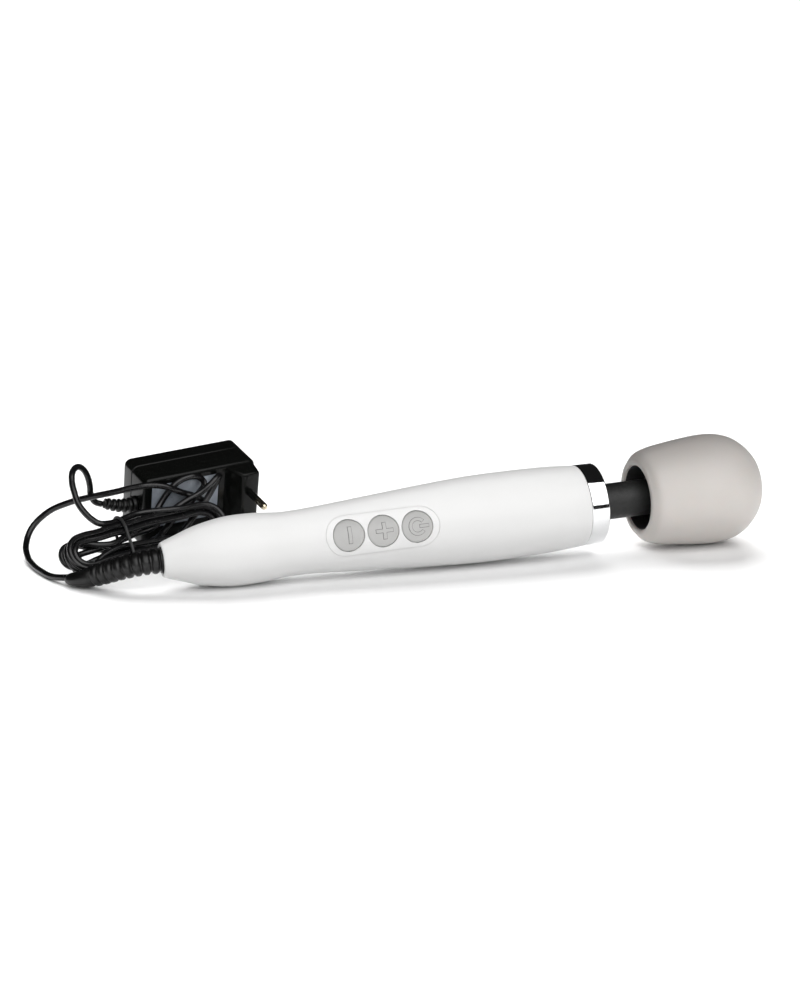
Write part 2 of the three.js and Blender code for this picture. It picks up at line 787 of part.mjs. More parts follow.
// The flange and clamp inside the tail that keep the strain relief from pulling out.
function tailGland() {
  const gland = turned([
    [1.2, 0], [1.2, 6.6], [7.4, 6.6], [7.4, 8.6], [10.4, 8.6], [10.4, 4], [18, 4], [18, 0],
  ], 20);
  return part('tail_gland', gland, MATERIALS.blackRubber);
}

function hank() {
  const { length, width, thickness, edge } = HANK;
  const reach = (length - width) / 2;
  const geometry = new THREE.ExtrudeGeometry(stadium(-reach, 0, reach, 0, width / 2), {
    depth: thickness - 2 * edge,
    bevelThickness: edge,
    bevelSize: edge,
    bevelOffset: -edge,
    bevelSegments: 1,
    curveSegments: 10,
  });
  geometry.rotateX(Math.PI / 2);
  const solid = toSolid(geometry.translate(0, thickness / 2 - edge, 0));
  return part('cord_hank', solid, MATERIALS.blackCord);
}

// A band of wire round the hank.
function cordTie() {
  const { width, thickness, edge } = HANK;
  const { at, wire, clear } = TIE;
  const loop = (grow, from, to) => {
    const [halfY, halfZ] = [thickness / 2 + grow, width / 2 + grow];
    const shape = roundedRectangle(-halfZ, -halfY, halfZ, halfY, edge + grow);
    const options = { depth: to - from, bevelEnabled: false, curveSegments: 4 };
    const geometry = new THREE.ExtrudeGeometry(shape, options);
    return toSolid(geometry.rotateY(Math.PI / 2).translate(from, 0, 0));
  };
  const band = loop(clear + wire, at, at + wire).subtract(loop(clear, at - 1, at + wire + 1));
  return part('cord_tie', band, MATERIALS.blackCord);
}

function upperLoops() {
  const { from, to, halfWidth, thickness, clear } = LOOPS;
  const solid = plate(stadium(...from, ...to, halfWidth), -clear - thickness, -clear, 8);
  return part('cord_upper_loops', solid, MATERIALS.blackCord);
}

// ---------------------------------------------------------------- assembly

const wand = new THREE.Group();
wand.position.set(...WAND.tail);
wand.rotation.order = 'YXZ';
wand.rotation.y = -THREE.MathUtils.degToRad(WAND.pitch);
wand.rotation.x = -THREE.MathUtils.degToRad(WAND.roll);
wand.add(
  ...handleShells(), ...shellScrews(), buttonPanel(), ...buttons(), controlBoard(),
  ...tactSwitches(), chromeRing(), neckCollar(), neckClampPlate(), tailGland(),
  motorCan(), motorEndCap(), ...motorMounts(), ...rotorParts(), neckSleeve(), driveSpring(),
  headCover(), ...headCore(), bearing('bearing_rear', BEARING.rear),
  bearing('bearing_front', BEARING.front),
);

// The eccentric hangs straight down, so it undoes the wand's roll.
const eccentric = new THREE.Group();
eccentric.rotation.x = THREE.MathUtils.degToRad(WAND.roll);
eccentric.add(...eccentricParts());
wand.add(eccentric);

const adapter = new THREE.Group();
adapter.position.set(...ADAPTER.corner);
adapter.rotation.order = 'ZYX';
adapter.rotation.z = THREE.MathUtils.degToRad(ADAPTER.turn);
adapter.rotation.y = -THREE.MathUtils.degToRad(ADAPTER.rise);
adapter.rotation.x = THREE.MathUtils.degToRad(ADAPTER.lean);
adapter.add(
  ...adapterCases(), ratingLabel(), ...plugPin('upper', PIN.z.upper),
  ...plugPin('lower', PIN.z.lower), adapterRelief(), ...adapterInside(), upperLoops(),
);

const hankGroup = new THREE.Group();
hankGroup.position.set(...HANK.centre);
hankGroup.rotation.order = 'ZYX';
hankGroup.rotation.z = THREE.MathUtils.degToRad(HANK.heading);
hankGroup.rotation.x = -THREE.MathUtils.degToRad(90 - HANK.lean);
hankGroup.add(hank(), cordTie());

const object = new THREE.Group();
object.add(
  wand, adapter, hankGroup, wandRelief(),
  part('cord_from_wand', cordTube(WAND_CORD_ROUTE), MATERIALS.blackCord),
  part('cord_from_adapter', cordTube(ADAPTER_CORD_ROUTE), MATERIALS.blackCord),
);

export default object;
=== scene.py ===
"""Looks of the handheld wand massager and its plug-in adapter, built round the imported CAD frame.

Sizes are in millimetres up to point(), which gives metres. Three local frames repeat the CAD's:
the wand's (station along the axis, y away from the keys, z), the adapter's (x along its front,
off in front of that face, z up the face) and the cord bundle's (u along it, h in front, v up it).
"""

import math

import bmesh
import bpy
import numpy as np
from mathutils import Matrix, Vector


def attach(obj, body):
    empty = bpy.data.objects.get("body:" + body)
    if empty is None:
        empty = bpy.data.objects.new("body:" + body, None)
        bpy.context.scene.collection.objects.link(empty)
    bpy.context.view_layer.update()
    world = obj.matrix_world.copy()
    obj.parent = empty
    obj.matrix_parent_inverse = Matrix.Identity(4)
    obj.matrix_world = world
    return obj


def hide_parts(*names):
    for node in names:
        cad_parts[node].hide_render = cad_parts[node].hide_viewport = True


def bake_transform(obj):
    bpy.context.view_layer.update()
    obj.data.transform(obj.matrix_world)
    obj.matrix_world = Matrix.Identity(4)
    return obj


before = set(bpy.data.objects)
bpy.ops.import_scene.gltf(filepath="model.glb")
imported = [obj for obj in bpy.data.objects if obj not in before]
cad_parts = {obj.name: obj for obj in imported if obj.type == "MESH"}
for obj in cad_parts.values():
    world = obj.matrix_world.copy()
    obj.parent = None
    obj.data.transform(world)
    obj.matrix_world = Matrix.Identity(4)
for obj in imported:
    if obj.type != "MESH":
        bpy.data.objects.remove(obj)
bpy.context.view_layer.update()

MM = 0.001


def point(p):
    """Millimetres to a point of the scene."""
    return Vector([float(c) * MM for c in p])


def turned_axes(z=0.0, y=0.0, x=0.0):
    """Columns of the rotation made by turns about Z, then Y, then X, in degrees."""
    turn = [Matrix.Rotation(math.radians(a), 3, n) for a, n in ((z, "Z"), (y, "Y"), (x, "X"))]
    return np.array(turn[0] @ turn[1] @ turn[2])


# ---------------------------------------------------------------- frames of the pieces

WAND_TAIL = np.array([-169.8, 0, 16.6])
WAND_AXES = turned_axes(y=-2.6, x=-16.5)
ADAPTER_CORNER = np.array([-163.5, 81.7, 0])
ADAPTER_AXES = turned_axes(z=13.4, y=-3.3, x=16.1)
HANK_CENTRE = np.array([-168, 53.2, 14.3])
HANK_AXES = turned_axes(z=19.4, x=-40)


def on_wand(station, y, z):
    return WAND_TAIL + WAND_AXES @ np.array([station, y, z], float)


def on_adapter(x, off, z):
    return ADAPTER_CORNER + ADAPTER_AXES @ np.array([x, -off, z], float)


def on_hank(u, h, v):
    return HANK_CENTRE + HANK_AXES @ np.array([u, -h, v], float)


# ---------------------------------------------------------------- camera

FOCAL_PIXELS = 2100
FRAME_HEIGHT = 1000
SENSOR = 36
CAMERA_TARGET = (-39.77, 0, 38.38)
CAMERA_DISTANCE = 1119.1
CAMERA_AZIMUTH = math.radians(-18.53)
CAMERA_ELEVATION = math.radians(13.94)


def make_camera():
    camera = bpy.data.objects.new("camera", bpy.data.cameras.new("camera"))
    bpy.context.scene.collection.objects.link(camera)
    camera.data.sensor_width = SENSOR
    camera.data.lens = SENSOR * FOCAL_PIXELS / FRAME_HEIGHT
    camera.data.clip_end = 100
    back = Vector((
        math.sin(CAMERA_AZIMUTH) * math.cos(CAMERA_ELEVATION),
        -math.cos(CAMERA_AZIMUTH) * math.cos(CAMERA_ELEVATION),
        math.sin(CAMERA_ELEVATION),
    ))
    camera.location = point(CAMERA_TARGET) + back * CAMERA_DISTANCE * MM
    camera.rotation_euler = (-back).to_track_quat("-Z", "Y").to_euler()
    bpy.context.scene.camera = camera


make_camera()


# ---------------------------------------------------------------- materials


def node(tree, kind, **values):
    made = tree.nodes.new(kind)
    for key, value in values.items():
        if key in made.inputs:
            made.inputs[key].default_value = value
        else:
            setattr(made, key, value)
    return made


def noise(tree, where, scale, detail=3.0, roughness=0.5):
    """Noise at the point that the socket where gives."""
    made = node(tree, "ShaderNodeTexNoise", Scale=scale, Detail=detail, Roughness=roughness)
    tree.links.new(where, made.inputs["Vector"])
    return made.outputs["Fac"]


def spread(tree, value, low, high, start=0.3, end=0.7):
    """The noise value, mapped from start..end to low..high."""
    made = node(tree, "ShaderNodeMapRange", **{
        "From Min": start, "From Max": end, "To Min": low, "To Max": high,
    })
    tree.links.new(value, made.inputs["Value"])
    return made.outputs["Result"]


def mixed(tree, fac, a, b):
    made = node(tree, "ShaderNodeMix", data_type="RGBA")
    for socket, value in ((made.inputs[0], fac), (made.inputs[6], a), (made.inputs[7], b)):
        if isinstance(value, bpy.types.NodeSocket):
            tree.links.new(value, socket)
        else:
            socket.default_value = value
    return made.outputs[2]


def shade(color, by):
    return tuple(min(1.0, c * by) for c in color) + (1.0,)


RELIEF_DEPTH = 0.0001
DUST = (0.42, 0.42, 0.4, 1)


def finish(
    name, color, roughness, metallic=0.0, *, tint=0.05, patches=45, vary=0.06, grain=1800,
    bump=0.08, second=None, dust=0.0, stretch=None, **shader,
):
    """A procedural finish: patches of slightly different colour, grain in gloss and in relief.

    grain and patches count features per metre. second is another colour that the patches mix in,
    dust settles on what faces up and stretch draws the grain out.
    """
    made = bpy.data.materials.new(name)
    made.use_nodes = True
    tree = made.node_tree
    shell = tree.nodes["Principled BSDF"]
    where = node(tree, "ShaderNodeTexCoord").outputs["Object"]
    drawn = where
    if stretch:
        mapping = node(tree, "ShaderNodeMapping", Scale=stretch)
        tree.links.new(where, mapping.inputs["Vector"])
        drawn = mapping.outputs["Vector"]

    large = noise(tree, where, patches, 4)
    fine = noise(tree, drawn, grain, 5, 0.6)
    base = mixed(
        tree, spread(tree, large, 0, 1), shade(color, 1 - tint),
        shade(second or color, 1 if second else 1 + tint),
    )
    base = mixed(tree, spread(tree, fine, 0, 0.5), base, shade(color, 1 - 1.5 * tint))
    if dust:
        geometry = node(tree, "ShaderNodeNewGeometry")
        split = node(tree, "ShaderNodeSeparateXYZ")
        tree.links.new(geometry.outputs["Normal"], split.inputs["Vector"])
        specks = spread(tree, noise(tree, where, 2600, 2, 0.7), 0, dust, 0.56, 0.72)
        up = spread(tree, split.outputs["Z"], 0, 1, 0.1, 0.9)
        both = node(tree, "ShaderNodeMath", operation="MULTIPLY")
        tree.links.new(specks, both.inputs[0])
        tree.links.new(up, both.inputs[1])
        base = mixed(tree, both.outputs[0], base, DUST)
    tree.links.new(base, shell.inputs["Base Color"])

    smudges = noise(tree, where, patches * 2.3, 3)
    gloss = node(tree, "ShaderNodeMath", operation="ADD")
    tree.links.new(spread(tree, smudges, roughness - vary, roughness + vary), gloss.inputs[0])
    tree.links.new(spread(tree, fine, -vary / 2, vary / 2), gloss.inputs[1])
    tree.links.new(gloss.outputs[0], shell.inputs["Roughness"])

    relief = node(tree, "ShaderNodeBump", Strength=bump, Distance=RELIEF_DEPTH)
    tree.links.new(fine, relief.inputs["Height"])
    tree.links.new(relief.outputs["Normal"], shell.inputs["Normal"])
    shell.inputs["Metallic"].default_value = metallic
    for key, value in shader.items():
        shell.inputs[key.replace("_", " ")].default_value = value
    return made


WHITE = (0.66, 0.659, 0.654)
GREY = (0.43, 0.428, 0.42)
TAUPE = (0.53, 0.5, 0.475)
BLACK = (0.006, 0.006, 0.0065)

FINISHES = {
    "white_shell": finish(
        "satin_white", WHITE, 0.36, tint=0.012, patches=30, vary=0.05, grain=2600, bump=0.06,
        Sheen_Weight=0.35, Sheen_Roughness=0.6, Sheen_Tint=(1, 1, 1, 1),
    ),
    "button_grey": finish(
        "key_grey", GREY, 0.42, tint=0.03, patches=120, vary=0.06, grain=3200, bump=0.12,
    ),
    "head_skin": finish(
        "silicone_taupe", TAUPE, 0.5, tint=0.02, patches=35, vary=0.06, grain=2200, bump=0.1,
        Sheen_Weight=0.15, Sheen_Roughness=0.45, Subsurface_Weight=0.08, Subsurface_Scale=0.004,
    ),
    "black_rubber": finish(
        "rubber_black", (0.008, 0.008, 0.008), 0.55, tint=0.2, patches=160, vary=0.1,
        grain=2400, bump=0.25, dust=0.12,
    ),
    "black_gloss": finish(
        "case_black", (0.0045, 0.005, 0.0045), 0.2, tint=0.15, patches=60, vary=0.05, grain=1500,
        bump=0.1, dust=0.03, Specular_IOR_Level=0.17,
    ),
    "black_cord": finish(
        "cord_black", BLACK, 0.22, tint=0.2, patches=140, vary=0.07, grain=1600, bump=0.1,
        dust=0.04, Specular_IOR_Level=0.45,
    ),
    "inner_plastic": finish(
        "inner_plastic", (0.045, 0.045, 0.048), 0.5, tint=0.1, grain=1800, bump=0.15,
    ),
    "rating_label": finish(
        "label_foil", (0.42, 0.46, 0.51), 0.34, metallic=0.2, tint=0.12, patches=240, vary=0.08,
        grain=900, bump=0.08, second=(0.27, 0.3, 0.35), stretch=(1, 1, 9),
    ),
    "circuit_board": finish(
        "board_green", (0.015, 0.12, 0.045), 0.35, tint=0.12, patches=300, grain=900, bump=0.3,
        second=(0.03, 0.17, 0.06),
    ),
    "copper": finish(
        "copper_windings", (0.62, 0.25, 0.1), 0.34, metallic=1.0, tint=0.12, patches=200,
        grain=1400, bump=0.6, stretch=(1, 8, 8),
    ),
    "chrome": finish(
        "chrome", (0.86, 0.865, 0.87), 0.07, metallic=1.0, tint=0.015, patches=60, vary=0.03,
        grain=1200, bump=0.015, stretch=(0.2, 1, 1),
    ),
    "steel": finish(
        "steel", (0.46, 0.46, 0.47), 0.3, metallic=1.0, tint=0.08, patches=160, vary=0.08,
        grain=1700, bump=0.15,
    ),
    "pin_metal": finish(
        "pin_nickel", (0.78, 0.68, 0.5), 0.2, metallic=1.0, tint=0.06, patches=300, vary=0.06,
        grain=1600, bump=0.08,
    ),
}
# Dark grey of the strip round each key mark's foot: painted shade along the mark's edges.
ICON_SHADE = finish(
    "icon_painted_shade", (0.17, 0.168, 0.165), 0.5, tint=0.03, patches=400, grain=2600, bump=0.1,
)
TIE = finish(
    "tie_black", (0.035, 0.035, 0.036), 0.38, tint=0.1, patches=300, grain=2400, bump=0.1,
)
SLEEVE = finish(
    "sleeve_black", (0.0055, 0.0055, 0.0055), 0.36, tint=0.2, patches=160, vary=0.08, grain=2200,
    bump=0.2, Specular_IOR_Level=0.4,
)


# ---------------------------------------------------------------- mesh helpers


def add_object(name, data, slot, body=None, replaced=(), material=None):
    made = bpy.data.objects.new(name, data)
    bpy.context.scene.collection.objects.link(made)
    data.materials.clear()
    data.materials.append(material or FINISHES[slot])
    if body:
        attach(made, body)
    if replaced:
        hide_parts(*replaced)
    return made


def mesh_of(name, vertices, faces, sharp=38.0):
    """A mesh from points in millimetres, smooth but for edges sharper than that many degrees."""
    data = bpy.data.meshes.new(name)
    data.from_pydata([point(v) for v in vertices], [], faces)
    return smoothed(data, sharp)


def smoothed(data, sharp=38.0):
    edit = bmesh.new()
    edit.from_mesh(data)
    bmesh.ops.remove_doubles(edit, verts=edit.verts, dist=1e-6)
    bmesh.ops.recalc_face_normals(edit, faces=edit.faces)
    for face in edit.faces:
        face.smooth = True
    for edge in edit.edges:
        edge.smooth = edge.is_manifold and edge.calc_face_angle(0) < math.radians(sharp)
    edit.to_mesh(data)
    edit.free()
    return data


def as_lists(data):
    """A mesh as (vertices in millimetres, faces)."""
    vertices = [np.array(v.co) / MM for v in data.vertices]
    return vertices, [tuple(p.vertices) for p in data.polygons]


def joined(*parts):
    """Several (vertices, faces) as one."""
    vertices, faces = [], []
    for some, theirs in parts:
        faces += [tuple(i + len(vertices) for i in face) for face in theirs]
        vertices += list(some)
    return vertices, faces


def lofted(rings, closed_ends=True, closed_loop=False):
    """Faces between rings of the same number of points."""
    count = len(rings[0])
    vertices = [p for ring in rings for p in ring]
    faces = []
    turns = len(rings) if closed_loop else len(rings) - 1
    for k in range(turns):
        low, high = k * count, (k + 1) % len(rings) * count
        for i in range(count):
            j = (i + 1) % count
            faces.append((low + i, low + j, high + j, high + i))
    if closed_ends and not closed_loop:
        faces.append(tuple(range(count))[::-1])
        faces.append(tuple(range(len(vertices) - count, len(vertices))))
    return vertices, faces


def lathe(outline, place, around=96, start=0.0, end=360.0):
    """A closed outline of (station, radius), turned about the axis. Angle 0 faces the keys."""
    whole = end - start >= 360
    steps = around if whole else around + 1
    rings = []
    for k in range(steps):
        angle = math.radians(start + (end - start) * k / around)
        rings.append([
            place(s, -max(r, 0) * math.cos(angle), max(r, 0) * math.sin(angle))
            for s, r in outline
        ])
    return lofted(rings, closed_ends=not whole, closed_loop=whole)


def circle(x, z, radius, around):
    angles = [2 * math.pi * k / around for k in range(around)]
    return [(x + radius * math.cos(a), z + radius * math.sin(a)) for a in angles]


def rod(place, x, z, near, far, radius, around=48):
    """A cylinder along the local y axis at (x, z)."""
    ring = circle(x, z, radius, around)
    return lofted([[place(a, y, b) for a, b in ring] for y in (near, far)])


def spline(points, steps):
    """The uniform Catmull-Rom curve through points, as three.js draws it."""
    points = [np.array(p, float) for p in points]
    out = []
    for i in range(len(points) - 1):
        p0, p1 = points[max(i - 1, 0)], points[i]
        p2, p3 = points[i + 1], points[min(i + 2, len(points) - 1)]
        for k in range(steps):
            t = k / steps
            v0, v1 = (p2 - p0) / 2, (p3 - p1) / 2
            out.append(
                (2 * p1 - 2 * p2 + v0 + v1) * t**3 + (3 * p2 - 3 * p1 - 2 * v0 - v1) * t**2
                + v0 * t + p1
            )
    return out + [points[-1]]


def cut(data, cutter, operation="DIFFERENCE"):
    """The mesh after an exact boolean with another (vertices, faces)."""
    host = bpy.data.objects.new("host", data)
    other = bpy.data.objects.new("cutter", mesh_of("cutter", *cutter))
    for each in (host, other):
        bpy.context.scene.collection.objects.link(each)
    modifier = host.modifiers.new("cut", "BOOLEAN")
    modifier.operation, modifier.object, modifier.solver = operation, other, "EXACT"
    bpy.context.view_layer.update()
    graph = bpy.context.evaluated_depsgraph_get()
    made = bpy.data.meshes.new_from_object(host.evaluated_get(graph))
    for each in (host, other):
        bpy.data.objects.remove(each)
    return smoothed(made)


def ease(t):
    t = min(1.0, max(0.0, t))
    return t * t * (3 - 2 * t)


def along(table, at):
    """The value at a station of a table of (station, value), eased between its rows."""
    if at <= table[0][0]:
        return table[0][1]
    for (x0, y0), (x1, y1) in zip(table, table[1:]):
        if at <= x1:
            return y0 + (y1 - y0) * ease((at - x0) / (x1 - x0))
    return table[-1][1]


# ---------------------------------------------------------------- cord

CORD_RADIUS = 1.75

# From the wand: over the floor, up past the adapter's side and on to its front.
FROM_WAND = [
    (-212.4, 24.5, 4.6), (-216.3, 29.4, 3.5), (-220.6, 38, 2.1), (-224, 50, 1.85),
    (-226.3, 64, 1.9), (-227.2, 78, 3.4), (-226.2, 88, 7.6), (-222, 94, 14.5),
    (-214, 94.5, 22), (-203, 87.5, 28.8), (-191, 80, 33.2), (-179, 74.5, 36.3),
    (-169, 71, 38.8), (-160, 68.3, 40.1),
]
# Down the adapter's front behind the fan of loops, and round to the left under the bundle.
DOWN_ADAPTER = [
    (10.5, 4.6, 41.0), (15.5, 5.7, 38.6), (20.6, 4.8, 35.4), (25.5, 3.0, 32.4), (31, 2.1, 29.0),
    (36.5, 2.4, 24.6), (39.6, 3.4, 18.8), (38.6, 5.4, 13.0), (33.6, 7.6, 8.8), (26, 9.2, 6.6),
]
UNDER_BUNDLE = [(-152, 70.5, 2.6), (-162, 67, 2.2)]
FIRST_BIGHT = [
    (-4, -13.4, -1.0), (-15, -10.8, 1.2), (-25, -9.2, 3.2), (-33.5, -8.0, 6.0),
    (-40.2, -7.4, 7.2), (-44.8, -7.4, 4.8), (-46.4, -7.6, 0.6), (-45.0, -7.8, -3.4),
    (-41.0, -7.4, -5.8),
]
# The two turns that are pulled up on to the adapter's front.
RIGHT_LOOP = [
    (13.0, 15.0, 13.6), (20.5, 11.4, 16.6), (27.5, 7.8, 20.8), (34, 5.4, 25.8),
    (39.4, 3.2, 31.0), (42.9, 2.2, 36.2), (43.6, 4.0, 40.8), (40.6, 7.2, 42.2),
    (36.0, 8.8, 39.6), (30, 8.6, 35.4), (22, 7.7, 31.4), (14, 8.6, 28.2), (6.5, 10.6, 25.4),
    (0, 13.6, 23.0),
]
LEFT_LOOP = [
    (3, 14.2, 16.4), (10, 10.2, 19.4), (17.5, 6.6, 22.8), (25, 4.6, 27.2), (31.6, 3.6, 32.2),
    (35.0, 2.8, 37.2), (31.8, 2.2, 41.4), (24.8, 2.0, 42.6), (17.8, 2.0, 40.0),
    (12.4, 2.1, 34.6), (7.8, 3.4, 29.2), (2.4, 6.6, 25.0), (-4, 10.4, 22.6),
]
# From the adapter, backwards: off the bundle, up, over and down to the adapter's relief.
TO_ADAPTER = [
    (-195.6, 53.2, 27.4), (-199, 56.3, 30.9), (-201.6, 60, 35.2), (-202.6, 64, 40),
    (-203, 68.5, 45), (-201.7, 73, 49.6), (-198, 78, 51), (-194, 82, 48), (-191.5, 84.5, 43),
    (-190.4, 85.5, 37.5), (-190, 85.8, 32.5), (-187.7, 86, 28.7), (-184, 86.3, 27.1),
]

# The bundle's half width and the middle of that width, along it. Its turns close up towards the
# tie over GATHER_OVER.
BUNDLE_HALF = [(-38, 9.8), (-12, 10.2), (10, 11.2), (37.5, 11.6)]
BUNDLE_MIDDLE = [(-38, -3.4), (-12, -1.5), (10, -0.6), (37.5, -0.4)]
BIGHT_START = 37.5
BIGHT_STEPS = 5
GATHER_OVER = 16
STATIONS = [-37.5, -28, -18, -8, 4, 16, 27, 37.5]
# Each turn's distance in from the upper and the lower edge and its height, at the bundle's ends
# and then at its middle.
TURNS = [
    (7.4, 7.4, -6.8, 8.3, 8.3, -3.6), (6.8, 0.6, -4.4, 7.2, 5.0, -1.4),
    (3.0, 3.0, 0.6, 8.6, 8.6, 2.2), (0, 0, -0.2, 1.6, 1.6, 0.2),
    (3.0, 3.0, 3.2, 3.6, 3.6, 3.5), (0, 0, 4.0, 0, 0, 3.5),
]


def turn_at(turn, side, u):
    """Height and place across the bundle of a turn's upper (1) or lower (-1) run."""
    row = TURNS[turn]
    edge = 0 if side > 0 else 1
    end_in, end_h, middle_in, middle_h = row[edge], row[2], row[3 + edge], row[5]
    k = ease((BIGHT_START - abs(u)) / GATHER_OVER)
    inset = end_in + (middle_in - end_in) * k
    height = end_h + (middle_h - end_h) * k
    return height, along(BUNDLE_MIDDLE, u) + side * (along(BUNDLE_HALF, u) - inset)


def straight(turn, side, stations):
    return [on_hank(u, *turn_at(turn, side, u)) for u in stations]


def bight(end, start, stop, bulge=0.0):
    """The half circle beyond one end of the bundle, from (h, v) start to stop."""
    (h0, v0), (h1, v1) = start, stop
    radius, middle = (v0 - v1) / 2, (v0 + v1) / 2
    made = []
    for k in range(1, BIGHT_STEPS + 1):
        angle = math.pi * k / (BIGHT_STEPS + 1)
        out = end * (BIGHT_START + abs(radius) * math.sin(angle))
        height = h0 + (h1 - h0) * ease(k / (BIGHT_STEPS + 1)) + bulge * math.sin(angle)
        made.append(on_hank(out, height, middle + radius * math.cos(angle)))
    return made


def left_bight(turn):
    return bight(-1, turn_at(turn, 1, -BIGHT_START), turn_at(turn, -1, -BIGHT_START))


def right_bight(turn, bulge=0.0):
    start, stop = turn_at(turn, -1, BIGHT_START), turn_at(turn + 1, 1, BIGHT_START)
    return bight(1, start, stop, bulge)


def cord_route():
    leftward = STATIONS[::-1]
    made = [np.array(p, float) for p in FROM_WAND]
    made += [on_adapter(*p) for p in DOWN_ADAPTER]
    made += [np.array(p, float) for p in UNDER_BUNDLE]
    made += [on_hank(*p) for p in FIRST_BIGHT]
    made += straight(0, -1, [-36, -27, -18, -8])
    made += [on_hank(1, -4.8, -4.6), on_hank(9, -6.0, -4.8), on_hank(16, -6.8, -4.2)]
    made += [on_adapter(*p) for p in RIGHT_LOOP]
    made += [on_hank(-1.5, -3.9, 5.4), on_hank(-10, -2.2, 3.0)]
    made += straight(1, 1, [-19, -28, -37.5]) + left_bight(1)
    made += straight(1, -1, [-37.5, -28, -18, -10])
    made += [on_hank(-2, -0.8, -4.0), on_hank(5.5, -3.6, -0.6)]
    made += [on_adapter(*p) for p in LEFT_LOOP]
    made += [on_hank(-3.2, -0.6, 5.8), on_hank(-11, 1.6, 2.8)]
    made += straight(2, 1, [-19, -28, -37.5]) + left_bight(2) + straight(2, -1, STATIONS)
    made += right_bight(2)
    made += straight(3, 1, leftward) + left_bight(3) + straight(3, -1, STATIONS)
    made += right_bight(3, -0.9)
    made += straight(4, 1, leftward) + left_bight(4) + straight(4, -1, STATIONS)
    made += right_bight(4, 2.0)
    made += straight(5, 1, leftward) + left_bight(5) + straight(5, -1, STATIONS)
    made += bight(1, turn_at(5, -1, BIGHT_START), (7.2, 10.9), 1.0)
    made += [on_hank(*p) for p in (
        (37.5, 7.2, 10.9), (28, 6.9, 10.9), (19, 6.2, 11.6), (10, 3.6, 13.6), (2, 1.9, 14.6),
        (-6, 1.6, 13.4), (-13, 1.8, 12.0), (-18.5, 2.2, 11.6), (-23.5, 2.3, 12.6),
    )]
    return made + [np.array(p, float) for p in TO_ADAPTER]


HANDLE_SHARE = 0.36


def smooth_curve(name, route, radius, closed=False):
    """A round Bezier tube whose handles follow its neighbours, sized by the shorter side."""
    data = bpy.data.curves.new(name, "CURVE")
    data.dimensions = "3D"
    data.bevel_depth = radius * MM
    data.bevel_resolution = 5
    data.resolution_u = 6
    data.use_fill_caps = True
    line = data.splines.new("BEZIER")
    line.bezier_points.add(len(route) - 1)
    line.use_cyclic_u = closed
    last = len(route) - 1
    for i, each in enumerate(line.bezier_points):
        here = np.array(route[i], float)
        before = np.array(route[i - 1 if i or closed else 0], float)
        after = np.array(route[(i + 1) % len(route) if i < last or closed else last], float)
        back, ahead = np.linalg.norm(here - before), np.linalg.norm(after - here)
        if back < 1e-9 or ahead < 1e-9:
            tangent = after - before
        else:
            tangent = (here - before) / back * ahead + (after - here) / ahead * back
        tangent = tangent / max(np.linalg.norm(tangent), 1e-9)
        each.handle_left_type = each.handle_right_type = "FREE"
        each.co = point(here)
        each.handle_left = point(here - tangent * back * HANDLE_SHARE)
        each.handle_right = point(here + tangent * ahead * HANDLE_SHARE)
    return data


cord = add_object(
    "cord", smooth_curve("cord", cord_route(), CORD_RADIUS), "black_cord", "handle",
    ("cord_from_wand", "cord_from_adapter", "cord_hank", "cord_upper_loops"),
)


# ---------------------------------------------------------------- strain reliefs


def swept(route, outline, around=40, flatten=None):
    """A round body along a route. outline is (distance along, radius); flatten gives the height's
    share of the width at a distance, and how far the section sinks."""
    line = np.array(spline(route, 16))
    steps = np.linalg.norm(np.diff(line, axis=0), axis=1)
    travelled = np.concatenate([[0], np.cumsum(steps)])
    rings = []
    for distance, radius in outline:
        here = np.array([np.interp(distance, travelled, line[:, k]) for k in range(3)])
        near = [
            np.array([np.interp(distance + d, travelled, line[:, k]) for k in range(3)])
            for d in (-0.6, 0.6)
        ]
        ahead = near[1] - near[0]
        ahead /= np.linalg.norm(ahead)
        side = np.cross(ahead, (0, 0, 1))
        side /= np.linalg.norm(side)
        up = np.cross(side, ahead)
        high, sink = flatten(distance) if flatten else (1.0, 0.0)
        ring = []
        for k in range(around):
            a = 2 * math.pi * k / around
            ring.append(
                here + side * radius * math.cos(a) + up * (radius * high * math.sin(a) - sink)
            )
        rings.append(ring)
    return lofted(rings)


def ribs(start, pitch, count, root, tip, length, groove):
    """Outline of round ribs on a tapering body."""
    made = []
    for k in range(count):
        for share, low in (
            (0.0, 1.0), (0.1, 0.45), (0.2, 0.1), (0.32, 0.0), (0.55, 0.0), (0.68, 0.1),
            (0.78, 0.45), (0.86, 1.0),
        ):
            s = start + (k + share) * pitch
            made.append((s, root + (tip - root) * s / length - groove * low))
    return made


def wand_relief():
    route = [
        (-168.6, 0, 16.65), (-180, 0.8, 15.6), (-190, 4.5, 12.9), (-198.5, 11, 9.0),
        (-206, 18, 5.9), (-214.5, 26.6, 4.4),
    ]
    length = 56.0
    outline = [(0, 6.5), (0.8, 6.7), (2.0, 6.7), (2.4, 5.6)]
    outline += ribs(2.8, 4.6, 8, 6.8, 5.3, length, 1.25)
    outline += [
        (40.4, 5.3), (41.2, 5.6), (44, 5.7), (48, 5.6), (51.5, 5.3), (54, 4.7), (55.6, 3.9),
        (56.4, 3.0), (56.8, 2.2),
    ]

    def flatten(distance):
        k = ease((distance - 38) / 14)
        return 1 - 0.32 * k, 0.9 * k

    data = mesh_of("wand_relief", *swept(route, outline, 48, flatten))
    return add_object(
        "wand_relief", data, "black_rubber", "handle", ("wand_strain_relief",), SLEEVE,
    )


